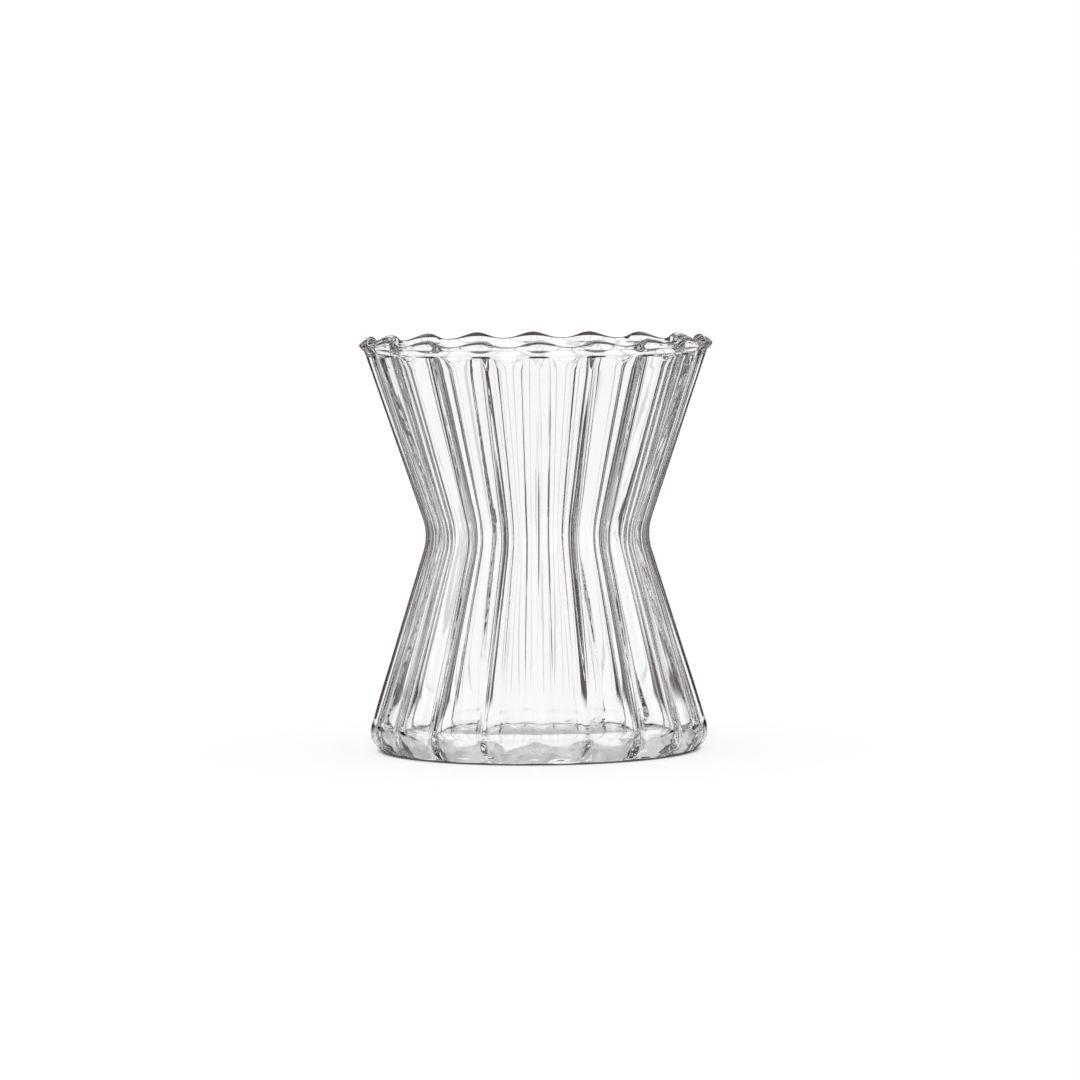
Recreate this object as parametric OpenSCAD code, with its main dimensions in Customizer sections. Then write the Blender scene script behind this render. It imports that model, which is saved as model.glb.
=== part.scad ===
// Hourglass tea glass, mould-blown with upright flutes and a waved, beaded rim.
// The glass stands on the XY plane with its axis on Z. Millimetres.

/* [Outline] */
// Height at the crests of the rim
height = 91.3; // [84:0.1:110]
// Diameter over the rim bead
rim_d = 78; // [70:0.5:90]
// Diameter over the flutes where the bead begins
neck_d = 75.6; // [68:0.2:76.4]
// Diameter over the flutes at the waist
waist_d = 49.5; // [40:0.5:56]
// Diameter over the flutes at the heel
base_d = 74.8; // [70:0.2:84]
// Height of the waist
waist_z = 47.6; // [40:0.2:54]

/* [Wall] */
// Thickness of the wall between grooves
wall_t = 1.4; // [1.2:0.1:2.4]
// Thickness of the floor
floor_t = 1.6; // [1.4:0.1:3]
// Radius that rounds the waist, outside
waist_r = 11.5; // [6:0.5:18]
// Radius that rounds the heel, outside
heel_r = 4; // [3:0.1:6]
// Radius between wall and floor, inside
inner_heel_r = 4; // [2.5:0.1:5]

/* [Flutes] */
// Number of flutes around the glass
flute_count = 18; // [12:2:24]
// Depth of the grooves between flutes, outside
groove_depth = 0.5; // [0.2:0.1:1.2]
// Height of the ridge behind each groove, inside
ridge_h = 1; // [0:0.1:1.4]
// How flat the flutes are: 2 is a round lobe, more is flatter with a sharper groove and ridge
flute_flatness = 2.6; // [2:0.1:5]

/* [Rim] */
// Width of the bead's section
bead_w = 2.2; // [1.8:0.1:2.6]
// Height of the bead at its crests, from its underside
bead_h = 2.6; // [2:0.1:3.4]
// Rise of each crest above the troughs
wave_h = 1.4; // [0.4:0.1:1.8]
// How far the bead is drawn in at each groove
wave_in = 0.7; // [0:0.1:1]
// Height of the neck below the bead's underside
neck_drop = 0.6; // [0.3:0.1:2]

/* [Base] */
// How far the floor disc stops short of the corner inside
disc_inset = 1.3; // [0.5:0.1:3]
// Diameter of the hollow under the floor
punt_d = 50; // [30:1:50]
// Depth of the hollow under the floor
punt_depth = 0.5; // [0.2:0.1:0.9]

/* [Hidden] */

// Where the points of each flute lie, as shares of its half width: -1 is a groove, 0 the flute's middle
flute_shares = [-1, -0.86, -0.6, -0.3, 0, 0.3, 0.6, 0.86];
steps_around = flute_count * len(flute_shares);

// A groove faces the front, which is -Y
front_a = -90;

waist_steps = 3;
heel_steps = 5;
corner_steps = 4;
bead_steps = 9;

// Where the bead's section leaves the neck outside and meets it inside, as angles from the outward way
bead_out_a = -60;
bead_in_a = 210;

glass = "lightcyan";

// Unit vector in the profile plane, at an angle above the horizontal
function aim(a) = [cos(a), sin(a)];

// Centres of the arcs that round the heel and the waist
heel_c = [base_d / 2 - heel_r, heel_r];
waist_c = [waist_d / 2 + waist_r, waist_z];

// The neck, where the bead begins
neck = [neck_d / 2, height - bead_h - neck_drop];

// Angle of the lower wall's face, from the line that touches both arcs
lower_way = waist_c - heel_c;
lower_a = atan2(lower_way.y, lower_way.x) - acos((waist_r + heel_r) / norm(lower_way));

// Angle of the upper wall's face, from the line through the neck that touches the waist arc
upper_way = neck - waist_c;
upper_a = acos(-waist_r / norm(upper_way)) - atan2(upper_way.y, upper_way.x);

// The inner heel arc touches the inner wall and the floor
inner_heel_z = floor_t + inner_heel_r;
inner_wall_offset = heel_c * aim(lower_a) + heel_r - wall_t;
inner_heel_c = [
    (inner_wall_offset - inner_heel_r - inner_heel_z * sin(lower_a)) / cos(lower_a),
    inner_heel_z
];

// Radius of the floor disc, which lies inside both the corner and the heel
disc_r = min(inner_heel_c.x, heel_c.x) - disc_inset;

// Share of the groove's depth, and of the ridge's height, at a share of the flute's half width
function groove_share(u) = pow(abs(u), flute_flatness);
// The rim's waves have narrow crests over the grooves
function wave_share(u) = pow((1 - cos(180 * u)) / 2, 1.25);

// Each step around the glass, as [angle, share of the flute's half width]
around = [
    for (flute = [0 : flute_count - 1], u = flute_shares)
        [front_a + (flute + (u + 1) / 2) * 360 / flute_count, u]
];

// A point of the profile plane, turned to an angle around the axis
function turned(p, a) = [p.x * cos(a), p.x * sin(a), p.y];

// Ring of the outer face at a point of the profile, cut in along the way that n points
function outer_ring(p, n, depth) =
    [for (s = around) turned(p - aim(n) * depth * groove_share(s[1]), s[0])];

// Ring of the inner face, a thickness in from a point of the outer profile
function inner_ring(p, n, thickness, ridge) =
    [for (s = around) turned(p - aim(n) * (thickness + ridge * groove_share(s[1])), s[0])];

// Ring with no flutes
function plain_ring(p) = [for (s = around) turned(p, s[0])];

// Closed solid through a loop of rings, each with as many points as there are steps around
module ring_loop(rings) {
    n = steps_around;
    k = len(rings);
    points = [for (ring = rings, p = ring) p];
    faces = [
        for (i = [0 : k - 1], j = [0 : n - 1])
            let (a = i * n + j, b = i * n + (j + 1) % n)
            let (c = (i + 1) % k * n + j, d = (i + 1) % k * n + (j + 1) % n)
            each [[a, b, d], [a, d, c]]
    ];
    polyhedron(points = points, faces = faces, convexity = 10);
}

// Point of the waist arc where the face points at angle n
function waist_point(n) = waist_c - waist_r * aim(n);

// Angles of the waist arc, from one face angle to another
function waist_angles(from, to) =
    [for (i = [0 : waist_steps]) from + (to - from) * i / waist_steps];

neck_thickness = wall_t / cos(upper_a);

neck_outer = outer_ring(neck, 0, groove_depth);
neck_inner = inner_ring(neck, 0, neck_thickness, ridge_h);

// Fluted flare between the waist and the neck
module upper_wall() {
    arc = waist_angles(0, -upper_a);
    color(glass, 0.35)
    ring_loop(concat(
        [for (n = arc) outer_ring(waist_point(n), n, groove_depth)],
        [neck_outer, neck_inner],
        [for (i = [waist_steps : -1 : 0]) inner_ring(waist_point(arc[i]), arc[i], wall_t, ridge_h)]
    ));
}

// The grooves run round the heel and die away only near the flat of the base
function heel_fade(n) = pow(cos(min(0, n)), 0.4);

// Fluted skirt between the waist and the floor, with the rounded heel
module lower_wall() {
    arc = waist_angles(lower_a, 0);
    heel = [for (i = [0 : heel_steps]) -90 + (lower_a + 90) * i / heel_steps];
    corner = [for (i = [0 : corner_steps]) -90 + (lower_a + 90) * i / corner_steps];
    color(glass, 0.35)
    ring_loop(concat(
        [plain_ring([disc_r, 0])],
        [for (n = heel) outer_ring(heel_c + heel_r * aim(n), n, groove_depth * heel_fade(n))],
        [for (n = arc) outer_ring(waist_point(n), n, groove_depth)],
        [for (i = [waist_steps : -1 : 0]) inner_ring(waist_point(arc[i]), arc[i], wall_t, ridge_h)],
        [
            for (i = [corner_steps : -1 : 0])
                let (n = corner[i])
                inner_ring(inner_heel_c + inner_heel_r * aim(n), n, 0, ridge_h * heel_fade(n))
        ],
        [plain_ring([disc_r, floor_t])]
    ));
}

// Floor of the glass, with a shallow hollow inside the ring that it stands on
module base_disc() {
    punt_r = ((punt_d / 2) ^ 2 + punt_depth ^ 2) / (2 * punt_depth);
    color(glass, 0.35)
    difference() {
        linear_extrude(floor_t)
            polygon([for (s = around) disc_r * aim(s[0])]);
        translate([0, 0, punt_depth - punt_r])
            sphere(punt_r, $fn = 360);
    }
}

// Point of the bead's section at angle n, where the wave stands at a share of its height
function bead_point(n, wave) =
    let (tall = bead_h - wave_h * (1 - wave))
    [
        (rim_d - bead_w) / 2 - wave_in * wave + bead_w / 2 * cos(n),
        height - bead_h + tall * (sin(n) - sin(bead_out_a)) / (1 - sin(bead_out_a))
    ];

// Fire-polished bead on the neck, drawn up and in over each groove
module rim_bead() {
    section = [
        for (i = [0 : bead_steps])
            bead_out_a + (bead_in_a - bead_out_a) * i / bead_steps
    ];
    color(glass, 0.35)
    ring_loop(concat(
        [neck_outer],
        [for (n = section) [for (s = around) turned(bead_point(n, wave_share(s[1])), s[0])]],
        [neck_inner]
    ));
}

base_disc();
lower_wall();
upper_wall();
rim_bead();
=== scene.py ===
import math

import bmesh
import bpy
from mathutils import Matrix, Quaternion, Vector, noise


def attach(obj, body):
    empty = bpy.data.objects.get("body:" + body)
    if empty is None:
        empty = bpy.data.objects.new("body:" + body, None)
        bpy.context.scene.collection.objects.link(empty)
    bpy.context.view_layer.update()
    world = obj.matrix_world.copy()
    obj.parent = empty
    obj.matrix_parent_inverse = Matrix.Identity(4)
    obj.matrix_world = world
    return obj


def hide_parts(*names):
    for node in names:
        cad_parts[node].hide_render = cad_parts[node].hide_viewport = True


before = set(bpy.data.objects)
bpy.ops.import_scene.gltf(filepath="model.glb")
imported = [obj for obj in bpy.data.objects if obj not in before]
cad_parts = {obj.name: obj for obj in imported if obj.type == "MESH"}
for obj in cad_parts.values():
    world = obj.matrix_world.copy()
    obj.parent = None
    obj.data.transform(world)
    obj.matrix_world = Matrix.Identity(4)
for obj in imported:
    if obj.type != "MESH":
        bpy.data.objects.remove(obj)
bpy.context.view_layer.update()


# The glass is one gather of clear glass blown into a fluted mould, so it is one closed skin from the
# foot, up the outside, over the rim and down the inside to the floor. Its section is drawn first, with a pen
# of one point that leaves lines and arcs behind it. Sizes are millimetres until the glass is whole.
glass = bmesh.new()
zone = glass.verts.layers.int.new("zone")
PLAIN, OUTER, BEAD, INNER = 1, 2, 3, 4
pen = glass.verts.new((0, 0, 0))
pen[zone] = PLAIN


def aim(angle):
    """The way that an angle above level points, in the plane of the section."""
    return Vector((math.cos(angle), 0, math.sin(angle)))


def line_to(place, kind, parts=1):
    """Draws a straight line of points of one kind, in equal parts."""
    global pen
    start = pen.co.copy()
    for part in range(parts):
        pen = bmesh.ops.extrude_vert_indiv(glass, verts=[pen])["verts"][0]
        pen.co = start.lerp(Vector(place), (part + 1) / parts)
        pen[zone] = kind


def arc_round(centre, turn, kind, parts):
    """Draws an arc round a centre. A turn above zero goes from outwards to upwards."""
    global pen
    for part in range(parts):
        drawn = bmesh.ops.spin(
            glass, geom=[pen], cent=centre, axis=(0, -1, 0), angle=turn / parts, steps=1, use_merge=False
        )
        pen = [item for item in drawn["geom_last"] if isinstance(item, bmesh.types.BMVert)][0]
        pen[zone] = kind


# The foot: a thin floor of glass with a shallow hollow pushed up under it, so that it stands on a narrow
# ring. The hollow is left by the stamp that carries the soft base.
PUNT_R = 25.0
PUNT_DEPTH = 0.5
PUNT_STEPS = 8
BASE_R = 37.4
HEEL_R = 4.0
RING_INSET = 1.2
RING_STEPS = 3
punt_curve = (PUNT_R ** 2 + PUNT_DEPTH ** 2) / (2 * PUNT_DEPTH)
pen.co = (0, 0, PUNT_DEPTH)
arc_round((0, 0, PUNT_DEPTH - punt_curve), -math.asin(PUNT_R / punt_curve), PLAIN, PUNT_STEPS)
heel_centre = Vector((BASE_R - HEEL_R, 0, HEEL_R))
line_to((heel_centre.x - RING_INSET, 0, 0), PLAIN, RING_STEPS)

# The skirt: the fluted wall from the rounded heel up to the waist, blown in one with the foot. It leans in
# by about 17 degrees.
WALL = 1.4
WALL_STEPS = 12
HEEL_STEPS = 12
WAIST_R = 24.75
WAIST_Z = 47.6
WAIST_CURVE = 11.5
WAIST_STEPS = 10
waist_centre = Vector((WAIST_R + WAIST_CURVE, 0, WAIST_Z))
way = waist_centre - heel_centre
skirt_lean = math.atan2(way.z, way.x) - math.acos((WAIST_CURVE + HEEL_R) / way.length)
line_to(heel_centre + HEEL_R * aim(-math.pi / 2), OUTER)
arc_round(heel_centre, math.pi / 2 + skirt_lean, OUTER, HEEL_STEPS)
line_to(waist_centre - WAIST_CURVE * aim(skirt_lean), OUTER, WALL_STEPS)

# The flare: the fluted wall from the waist to the neck under the rim, leaning out by about 19 degrees.
# Waist and both walls are one sheet of glass, so the waist is only a tight bend in it.
NECK_R = 37.8
NECK_Z = 88.1
neck = Vector((NECK_R, 0, NECK_Z))
way = neck - waist_centre
flare_lean = math.acos(-WAIST_CURVE / way.length) - math.atan2(way.z, way.x)
arc_round(waist_centre, -skirt_lean - flare_lean, OUTER, WAIST_STEPS)
line_to(neck, OUTER, WALL_STEPS)

# The rim: the cut edge melted in the flame until it drew together into a round bead. Its section is an arc,
# stretched to the height that the bead has at its crests.
BEAD_W = 2.7
BEAD_H = 2.6
RIM_R = 39.0
RIM_Z = 91.3
BEAD_START = math.radians(-60)
BEAD_TURN = math.radians(270)
BEAD_STEPS = 18
bead_centre = Vector((RIM_R - BEAD_W / 2, 0, RIM_Z - BEAD_H))
line_to(bead_centre + BEAD_W / 2 * math.cos(BEAD_START) * aim(0), BEAD)
arc_round(bead_centre - Vector((0, 0, BEAD_W / 2 * math.sin(BEAD_START))), BEAD_TURN, BEAD, BEAD_STEPS)
bead_points = [point for point in glass.verts if point[zone] == BEAD]
bead_stretch = BEAD_H / (BEAD_W / 2 * (1 - math.sin(BEAD_START)))
for point in bead_points:
    point.co.z = bead_centre.z + (point.co.z - bead_centre.z) * bead_stretch

# The inside follows the outside at the thickness of the wall and turns into the floor with a soft corner.
# No mould touches it: it is the face that the breath left.
FLOOR = 1.6
FLOOR_STEPS = 8
CORNER = 4.0
CORNER_STEPS = 10
RIDGE_END = 0.8
RIDGE_END_STEPS = 3
corner_z = FLOOR + CORNER
wall_offset = heel_centre.dot(aim(skirt_lean)) + HEEL_R - WALL
corner_x = (wall_offset - CORNER - corner_z * math.sin(skirt_lean)) / math.cos(skirt_lean)
corner_centre = Vector((corner_x, 0, corner_z))
inner_neck = neck - Vector((WALL / math.cos(flare_lean), 0, 0))
line_to(inner_neck, INNER)
line_to(inner_neck - RIDGE_END * aim(math.pi / 2 - flare_lean), INNER, RIDGE_END_STEPS)
line_to(waist_centre - (WAIST_CURVE + WALL) * aim(-flare_lean), INNER, WALL_STEPS)
arc_round(waist_centre, skirt_lean + flare_lean, INNER, WAIST_STEPS)
line_to(corner_centre + CORNER * aim(skirt_lean), INNER, WALL_STEPS)
arc_round(corner_centre, -math.pi / 2 - skirt_lean, INNER, CORNER_STEPS)
line_to((0, 0, FLOOR), PLAIN, FLOOR_STEPS)

# The flutes: eighteen round lobes pressed out between narrow upright grooves. The mould cuts the grooves
# into the outside, and the hot glass behind each one swells into a higher ridge inside. A groove faces the
# front. The rim waves with them, and its crests stand over the grooves.
FLUTES = 18
STEPS_PER_FLUTE = 20
CROWDING = 0.9
LOBE_DEPTH = 0.3
GROOVE_DEPTH = 0.5
GROOVE_W = 0.22
GROOVE_ROUND = 0.05
RIDGE_LOBE = 0.3
RIDGE_H = 1.1
RIDGE_W = 0.3
RIDGE_ROUND = 0.08
RIDGE_MELT = 0.7
FADE = 0.4
TWIST = math.radians(-2.6)
SAG = 0.3
SAG_SIZE = 4.5
SAG_LAYERS = 7.0
SAG_FROM_R = 18.0
SAG_GROWTH = 10.0
WAVE_H = 1.4
WAVE_IN = 0.7
WAVE_SHARPNESS = 1.25
TROUGH_THIN = 0.35
TROUGH_LIFT = 0.5
TINY = 0.0001
MM = 0.001


def crease(share, width, roundness):
    """A rounded V over a groove at share -1 or 1, from 0 at the middle of the flute to 1 in the groove."""
    def rise(away):
        return math.exp((roundness - math.sqrt(away * away + roundness * roundness)) / width)
    return (rise(1 - abs(share)) - rise(1)) / (1 - rise(1))


# Each point of the section keeps the way that the skin faces there, to be pressed in or swelled along it.
# Round the heel and round the corner inside, the flutes fade until they are gone at the flat of the base.
facing = glass.verts.layers.float_vector.new("facing")
points = list(glass.verts)
for before, point, after in zip(points, points[1:], points[2:]):
    along = (after.co - before.co).normalized()
    point[facing] = Vector((along.z, 0, -along.x))
    if point.co.z < HEEL_R or point[zone] == INNER and point.co.z < corner_z:
        point[facing] *= min(1, abs(along.z) / math.cos(skirt_lean)) ** FADE

bmesh.ops.spin(
    glass,
    geom=glass.verts[:] + glass.edges[:],
    cent=(0, 0, 0),
    axis=(0, 0, 1),
    angle=2 * math.pi,
    steps=FLUTES * STEPS_PER_FLUTE,
    use_merge=True,
)
bmesh.ops.remove_doubles(glass, verts=glass.verts, dist=TINY)

for point in glass.verts:
    turn = math.atan2(point.co.x, -point.co.y) / (2 * math.pi) * FLUTES
    flute = math.floor(turn + TINY)
    share = 2 * (turn - flute) - 1
    # The points crowd towards the grooves, where the skin bends most.
    share = CROWDING * math.sin(share * math.pi / 2) + (1 - CROWDING) * share
    angle = (flute + (share + 1) / 2) * 2 * math.pi / FLUTES + TWIST * max(0, 1 - point.co.z / WAIST_Z)
    out = Vector((math.sin(angle), -math.cos(angle), 0))
    reach, up = math.hypot(point.co.x, point.co.y), point.co.z
    if point[zone] == OUTER:
        depth = LOBE_DEPTH * share ** 2 + GROOVE_DEPTH * crease(share, GROOVE_W, GROOVE_ROUND)
        reach -= point[facing].x * depth
        up -= point[facing].z * depth
    elif point[zone] == INNER:
        depth = RIDGE_LOBE * share ** 2 + RIDGE_H * crease(share, RIDGE_W, RIDGE_ROUND)
        # The flame softened the last of each ridge, just under the bead.
        depth *= 1 - RIDGE_MELT * max(0, 1 - (NECK_Z - up) / RIDGE_END)
        reach += point[facing].x * depth
        up += point[facing].z * depth
    elif point[zone] == BEAD:
        wave = ((1 - math.cos(math.pi * share)) / 2) ** WAVE_SHARPNESS
        # Between the crests the bead is thinner, and widest nearer its top.
        reach = RIM_R - (RIM_R - reach) * (1 - TROUGH_THIN * (1 - wave)) - WAVE_IN * wave
        rise = max(0, (up - bead_centre.z) / BEAD_H)
        up = bead_centre.z + (BEAD_H - WAVE_H * (1 - wave)) * rise ** (1 - TROUGH_LIFT * (1 - wave))
    # The hot floor and heel sagged a little unevenly on the stamp, the more the further out.
    if point[zone] == PLAIN or point[zone] != BEAD and up < corner_z:
        loose = min(1, max(0, up) / SAG) * min(1, (corner_z - up) / CORNER)
        loose *= min(1, max(0, reach - SAG_FROM_R) / SAG_GROWTH)
        up += SAG * loose * noise.noise((out * reach + Vector((0, 0, SAG_LAYERS * up))) / SAG_SIZE)
    point.co = out * reach + Vector((0, 0, up))

bmesh.ops.recalc_face_normals(glass, faces=glass.faces)
for face in glass.faces:
    face.smooth = True
bmesh.ops.scale(glass, vec=(MM, MM, MM), verts=glass.verts)
glass_mesh = bpy.data.meshes.new("glass")
glass.to_mesh(glass_mesh)
glass.free()
tumbler = bpy.data.objects.new("blown_glass", glass_mesh)
bpy.context.scene.collection.objects.link(tumbler)


# The glass itself: clear borosilicate. Drawn along the mould while soft, its skin keeps faint streaks that
# run with the flutes: they change with the bearing of a place and hardly with its height. Near the axis
# they stop narrowing.
GLASS_TINT = (0.995, 0.997, 0.995, 1)
GLASS_IOR = 1.47
STREAKS = 23.0
STREAK_CLIMB = 0.8
STREAK_MIN_R = 0.02
STREAK_DETAIL = 2.0
STREAK_STRENGTH = 0.3
STREAK_DEPTH = 0.00002


def node(tree, kind, **settings):
    """Adds one node, with its settings."""
    made = tree.nodes.new(kind)
    for name, value in settings.items():
        setattr(made, name, value)
    return made


def feed(tree, socket, value):
    """Gives a socket a plain number, or joins another node's output to it."""
    if isinstance(value, (int, float)):
        socket.default_value = value
    else:
        tree.links.new(value, socket)


def sums(tree, operation, *values):
    """One Math node."""
    made = node(tree, "ShaderNodeMath", operation=operation)
    for socket, value in zip(made.inputs, values):
        feed(tree, socket, value)
    return made.outputs[0]


clear = bpy.data.materials.new("clear_glass")
clear.use_nodes = True
tree = clear.node_tree
shader = tree.nodes["Principled BSDF"]
shader.inputs["Transmission Weight"].default_value = 1
shader.inputs["IOR"].default_value = GLASS_IOR
shader.inputs["Roughness"].default_value = 0
shader.inputs["Base Color"].default_value = GLASS_TINT
place = node(tree, "ShaderNodeTexCoord").outputs["Object"]
level_place = node(tree, "ShaderNodeVectorMath", operation="MULTIPLY")
level_place.inputs[1].default_value = (1, 1, 0)
tree.links.new(place, level_place.inputs[0])
from_axis = node(tree, "ShaderNodeVectorMath", operation="LENGTH")
tree.links.new(level_place.outputs["Vector"], from_axis.inputs[0])
outward = node(tree, "ShaderNodeVectorMath", operation="SCALE")
tree.links.new(level_place.outputs["Vector"], outward.inputs[0])
shrink = sums(tree, "DIVIDE", 1.0, sums(tree, "MAXIMUM", from_axis.outputs["Value"], STREAK_MIN_R))
tree.links.new(shrink, outward.inputs["Scale"])
along_flute = node(tree, "ShaderNodeVectorMath", operation="MULTIPLY_ADD")
along_flute.inputs[1].default_value = (0, 0, STREAK_CLIMB)
tree.links.new(place, along_flute.inputs[0])
tree.links.new(outward.outputs["Vector"], along_flute.inputs[2])
streak = node(tree, "ShaderNodeTexNoise")
streak.inputs["Scale"].default_value = STREAKS
streak.inputs["Detail"].default_value = STREAK_DETAIL
tree.links.new(along_flute.outputs["Vector"], streak.inputs["Vector"])
ripple = node(tree, "ShaderNodeBump")
ripple.inputs["Strength"].default_value = STREAK_STRENGTH
ripple.inputs["Distance"].default_value = STREAK_DEPTH
tree.links.new(streak.outputs[0], ripple.inputs["Height"])
tree.links.new(ripple.outputs["Normal"], shader.inputs["Normal"])
glass_mesh.materials.append(clear)
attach(tumbler, "root")
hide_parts("base_disc", "lower_wall", "upper_wall", "rim_bead")


# The studio: a white room seen past eight tall dark cards that stand round the glass with white windows
# between them. Only the glass sees them, which draws the dark lines along its flutes. Over the cards the
# room is dark, with a soft white light overhead. Angles are in degrees.
SQUARE_HALF = 13.4
SLANT_HALF = 7.4
EDGE_SOFT = 2.0
EIGHTH_TURN = 45.0
WHOLE_TURNS = 720.0
BAR_STEP = 6.0
BAR_HALF = 0.7
BAR_CORE = 0.2
BAR_TONE = 0.7
WINDOW = (1.04, 1.04, 1.04, 1)
CARD = (0.045, 0.032, 0.028, 1)
PAPER = (1, 1, 1, 1)
SKY_LOW = 19.0
SKY_HIGH = 30.0
SKY_TONE = 0.12
OVERHEAD_LOW = 42.0
OVERHEAD_HIGH = 55.0
OVERHEAD_TONE = 0.75
DEGREES = 180 / math.pi


def ease(tree, value, start, end, first, last):
    """A soft step of a value, from first to last."""
    made = node(tree, "ShaderNodeMapRange", interpolation_type="SMOOTHSTEP")
    feed(tree, made.inputs["Value"], value)
    for name, number in zip(("From Min", "From Max", "To Min", "To Max"), (start, end, first, last)):
        feed(tree, made.inputs[name], number)
    return made.outputs[0]


def blend(tree, share, first, last):
    """The number that lies at a share of the way from first to last."""
    made = node(tree, "ShaderNodeMix", data_type="FLOAT")
    for socket, value in ((0, share), (2, first), (3, last)):
        feed(tree, made.inputs[socket], value)
    return made.outputs[0]


def bearing(tree, across, ahead):
    """The angle in degrees of a place, counted from straight ahead."""
    return sums(tree, "MULTIPLY", sums(tree, "ARCTAN2", across, ahead), DEGREES)


def window(tree, angle, half):
    """1 in a window at every quarter turn, reaching half its width to each side, and 0 beside it."""
    off = sums(tree, "PINGPONG", angle, EIGHTH_TURN)
    return ease(tree, off, half - EDGE_SOFT / 2, half + EDGE_SOFT / 2, 1.0, 0.0)


def cards(tree, x, y):
    """1 in the windows and 0 at the cards, by the bearing of a place on the floor or in the sky."""
    # Two whole turns keep the bearing above zero.
    turned = sums(tree, "ADD", bearing(tree, y, x), WHOLE_TURNS)
    square = window(tree, turned, SQUARE_HALF)
    slant = window(tree, sums(tree, "ADD", turned, EIGHTH_TURN), SLANT_HALF)
    # Thin glazing bars cross each window, and show as faint grey lines in every flute.
    off_bar = sums(tree, "PINGPONG", turned, BAR_STEP / 2)
    bars = ease(tree, off_bar, BAR_STEP / 2 - BAR_HALF, BAR_STEP / 2 - BAR_CORE, 1.0, BAR_TONE)
    return sums(tree, "MULTIPLY", sums(tree, "MAXIMUM", square, slant), bars)


def tone(tree, level):
    """The colour of the studio at a level from 0, a card, to 1, a window."""
    made = node(tree, "ShaderNodeMix", data_type="RGBA")
    tree.links.new(level, made.inputs[0])
    made.inputs[6].default_value = CARD
    made.inputs[7].default_value = WINDOW
    return made.outputs[2]


def by_glass(tree):
    """1 for light on its way through or off the glass, 0 for what the camera or the floor sees direct."""
    path = node(tree, "ShaderNodeLightPath")
    return sums(tree, "MAXIMUM", path.outputs["Is Transmission Ray"], path.outputs["Is Glossy Ray"])


room = bpy.data.worlds.new("room")
room.use_nodes = True
bpy.context.scene.world = room
tree = room.node_tree
tree.nodes.clear()
way_out = node(tree, "ShaderNodeSeparateXYZ")
tree.links.new(node(tree, "ShaderNodeTexCoord").outputs["Generated"], way_out.inputs[0])
x, y, z = way_out.outputs
height = sums(tree, "MULTIPLY", sums(tree, "ARCSINE", z), DEGREES)
above = ease(tree, height, OVERHEAD_LOW, OVERHEAD_HIGH, SKY_TONE, OVERHEAD_TONE)
light = blend(tree, ease(tree, height, SKY_LOW, SKY_HIGH, 0.0, 1.0), cards(tree, x, y), above)
paper = node(tree, "ShaderNodeBackground")
paper.inputs["Color"].default_value = PAPER
through = node(tree, "ShaderNodeBackground")
tree.links.new(tone(tree, light), through.inputs["Color"])
either = node(tree, "ShaderNodeMixShader")
tree.links.new(by_glass(tree), either.inputs[0])
tree.links.new(paper.outputs[0], either.inputs[1])
tree.links.new(through.outputs[0], either.inputs[2])
tree.links.new(either.outputs[0], node(tree, "ShaderNodeOutputWorld").inputs[0])


# The table: a white board under the glass. The camera sees it white, with a soft shadow. What the glass
# sees of it is a glow of painted light: a painted gloss and painted shade in tones set for the photograph's
# view, bright in level light and duller from above. Places are in metres, bearings in degrees from straight
# behind the glass.
BOARD_HALF = 8
BOARD_GAP = 0.0001
# Painted gloss: where it shows, by slope and by bearing from straight behind the glass.
PAINTED_GLOSS_BLEND = 0.5
STEEP, LEVEL = 0.53, 0.60
BEHIND_FROM, BEHIND_TO = 22.0, 33.0
BEHIND_SHIFT = 0.16
ASIDE_FROM, ASIDE_TO = 33.0, 40.0
ASIDE_TONE = 0.4
NEAR_R, NEAR_END_R = 0.07, 0.09
NEAR_TONE = 0.85
FAR_R, FAR_END_R = 0.10, 0.20
# Painted streaky half shade under the glass, made from noise.
SHADE_STREAK_SCALE = 160.0
SHADE_STREAK_DETAIL = 3.0
SHADE_STREAK_SWIRL = 1.0
SHADE_STREAK_LOW, SHADE_STREAK_HIGH = 0.35, 0.65
UNDER_DARK, UNDER_LIGHT = 0.42, 0.62
# Painted dark shade in the gap under the heel.
HEEL_IN_R, HEEL_DARK_R = 0.0305, 0.033
HEEL_OUT_R, HEEL_LIGHT_R = 0.036, 0.039
HEEL_TONE = 0.95
OPEN_R, OPEN_END_R = 0.041, 0.046
# Painted contact shadow on the board under the glass.
TOUCH_R, TOUCH_END_R = 0.0343, 0.0364
CONTACT_SHADOW_TONE = 0.1
PAINT = 0.3
LIFT = 0.72
board = bmesh.new()
bmesh.ops.create_grid(board, x_segments=1, y_segments=1, size=BOARD_HALF)
bmesh.ops.translate(board, vec=(0, 0, -BOARD_GAP), verts=board.verts)
board_mesh = bpy.data.meshes.new("board")
board.to_mesh(board_mesh)
board.free()
table = bpy.data.objects.new("white_board", board_mesh)
bpy.context.scene.collection.objects.link(table)
white = bpy.data.materials.new("white_board")
white.use_nodes = True
tree = white.node_tree
tree.nodes.clear()
place = node(tree, "ShaderNodeTexCoord").outputs["Object"]
spot = node(tree, "ShaderNodeSeparateXYZ")
tree.links.new(place, spot.inputs[0])
x, y, z = spot.outputs
away = sums(tree, "SQRT", sums(tree, "ADD", sums(tree, "MULTIPLY", x, x), sums(tree, "MULTIPLY", y, y)))
round_by = bearing(tree, sums(tree, "ABSOLUTE", x), y)

# 1 for light that meets the board nearly level, where the painted gloss shows, 0 for steeper light. Right
# behind the glass the light has to be more level to count.
painted_gloss_slope = node(tree, "ShaderNodeLayerWeight")
painted_gloss_slope.inputs["Blend"].default_value = PAINTED_GLOSS_BLEND
behind = ease(tree, round_by, BEHIND_FROM, BEHIND_TO, BEHIND_SHIFT, 0.0)
low = ease(tree, sums(tree, "SUBTRACT", painted_gloss_slope.outputs["Facing"], behind), STEEP, LEVEL, 0.0, 1.0)
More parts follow.
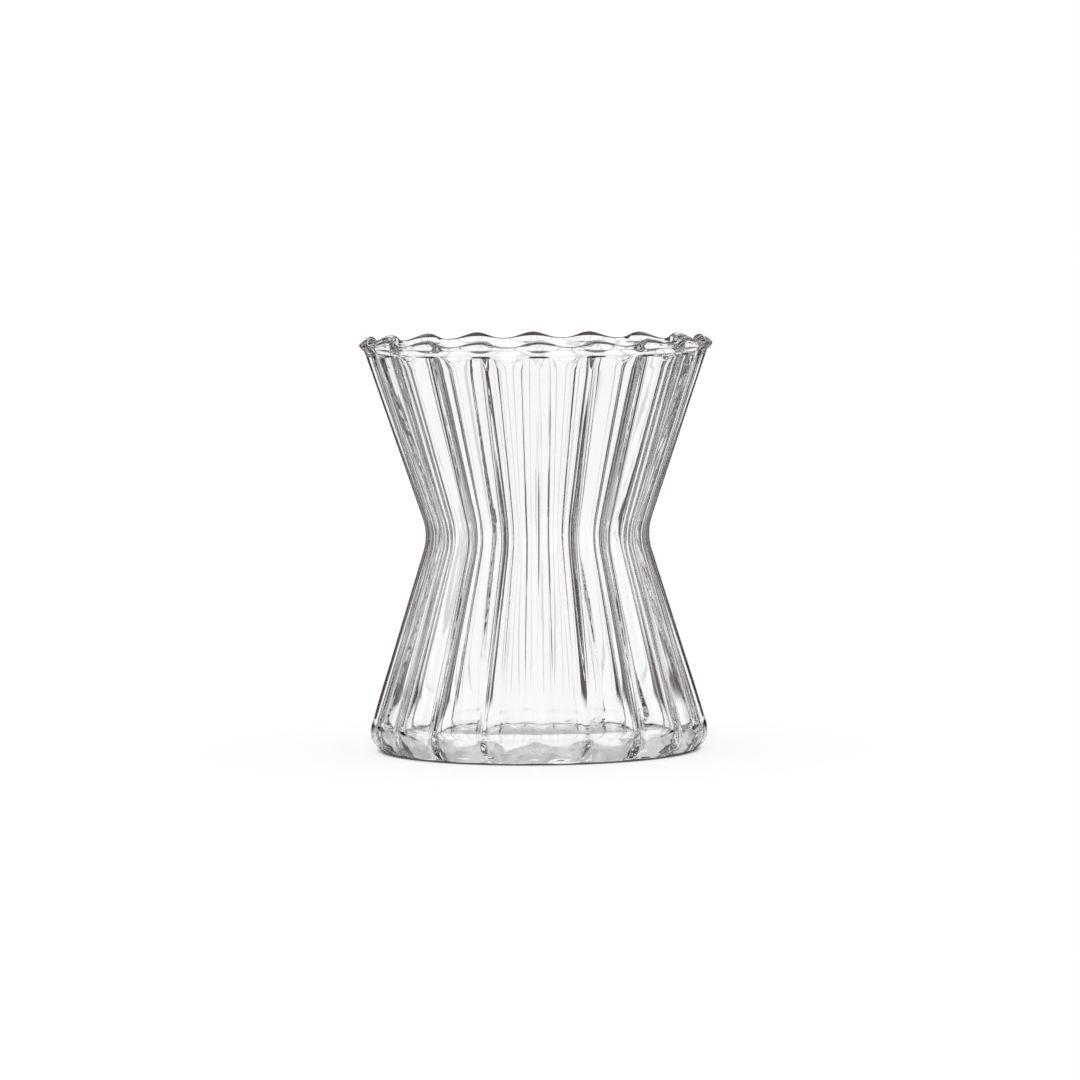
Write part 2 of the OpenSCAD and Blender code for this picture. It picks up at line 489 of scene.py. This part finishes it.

# In level light the open board is painted white near the glass, with a painted reflection of the cards
# further out. In steep light it is painted bright near the glass and dull or dark further out.
aside = ease(tree, round_by, ASIDE_FROM, ASIDE_TO, 0.0, ASIDE_TONE)
far = blend(tree, ease(tree, away, FAR_R, FAR_END_R, 0.0, 1.0), 1.0, cards(tree, x, y))
open_board = blend(tree, low, ease(tree, away, NEAR_R, NEAR_END_R, NEAR_TONE, aside), far)

# Under the glass, steep light finds a painted streaky half shade. Level light finds a painted bright board,
# but for a painted dark shade in the narrow gap under the heel.
painted_shade_streaks = node(tree, "ShaderNodeTexNoise")
painted_shade_streaks.inputs["Scale"].default_value = SHADE_STREAK_SCALE
painted_shade_streaks.inputs["Detail"].default_value = SHADE_STREAK_DETAIL
painted_shade_streaks.inputs["Distortion"].default_value = SHADE_STREAK_SWIRL
tree.links.new(place, painted_shade_streaks.inputs["Vector"])
under = ease(tree, painted_shade_streaks.outputs[0], SHADE_STREAK_LOW, SHADE_STREAK_HIGH, UNDER_DARK, UNDER_LIGHT)
before_heel = ease(tree, away, HEEL_IN_R, HEEL_DARK_R, HEEL_TONE, 0.0)
past_heel = ease(tree, away, HEEL_OUT_R, HEEL_LIGHT_R, 0.0, HEEL_TONE)
under_glass = blend(tree, low, under, sums(tree, "MAXIMUM", before_heel, past_heel))
seen = blend(tree, ease(tree, away, OPEN_R, OPEN_END_R, 0.0, 1.0), under_glass, open_board)
# The glow that the glass sees: painted light and shade, not lamp light.
painted_light_glow = node(tree, "ShaderNodeEmission")
tree.links.new(tone(tree, seen), painted_light_glow.inputs["Color"])

# Under the glass, out to its heel, the board has a painted contact shadow, as light hardly gets in there.
painted_contact_shadow = ease(tree, away, TOUCH_R, TOUCH_END_R, CONTACT_SHADOW_TONE, 1.0)
paint = node(tree, "ShaderNodeBsdfDiffuse")
tree.links.new(sums(tree, "MULTIPLY", painted_contact_shadow, PAINT), paint.inputs["Color"])
lift = node(tree, "ShaderNodeEmission")
tree.links.new(sums(tree, "MULTIPLY", painted_contact_shadow, LIFT), lift.inputs["Strength"])
plain = node(tree, "ShaderNodeAddShader")
tree.links.new(paint.outputs[0], plain.inputs[0])
tree.links.new(lift.outputs[0], plain.inputs[1])
both = node(tree, "ShaderNodeMixShader")
tree.links.new(by_glass(tree), both.inputs[0])
tree.links.new(plain.outputs[0], both.inputs[1])
tree.links.new(painted_light_glow.outputs[0], both.inputs[2])
tree.links.new(both.outputs[0], node(tree, "ShaderNodeOutputMaterial").inputs[0])
board_mesh.materials.append(white)


# The camera stands 1.2 m off, a little above the rim, and frames the glass small in a square picture. It is
# turned and rolled by a degree at most, as it was for the photograph. Ten bounces see through every wall.
DISTANCE = 1.197
CAMERA_HEIGHT = 0.1237
AIM_HEIGHT = 0.0462
AIM_SIDE = 0.00056
FRAME_WIDTH = 0.2380
SENSOR = 36
NEAREST = 0.05
TURN = math.radians(-1.0)
ROLL = math.radians(-0.51)
BOUNCES = 10
lens = bpy.data.cameras.new("camera")
camera = bpy.data.objects.new("camera", lens)
bpy.context.scene.collection.objects.link(camera)
bpy.context.scene.camera = camera
lens.sensor_width = SENSOR
lens.lens = SENSOR * DISTANCE / FRAME_WIDTH
lens.clip_start = NEAREST
side = Vector((math.cos(TURN), math.sin(TURN), 0))
camera.location = Vector((math.sin(TURN) * DISTANCE, -math.cos(TURN) * DISTANCE, CAMERA_HEIGHT))
look = side * AIM_SIDE + Vector((0, 0, AIM_HEIGHT)) - camera.location
camera.rotation_mode = "QUATERNION"
camera.rotation_quaternion = look.to_track_quat("-Z", "Y") @ Quaternion((0, 0, 1), ROLL)

cycles = bpy.context.scene.cycles
cycles.max_bounces = BOUNCES
cycles.transmission_bounces = BOUNCES
cycles.glossy_bounces = BOUNCES
bpy.context.scene.view_settings.view_transform = "Standard"
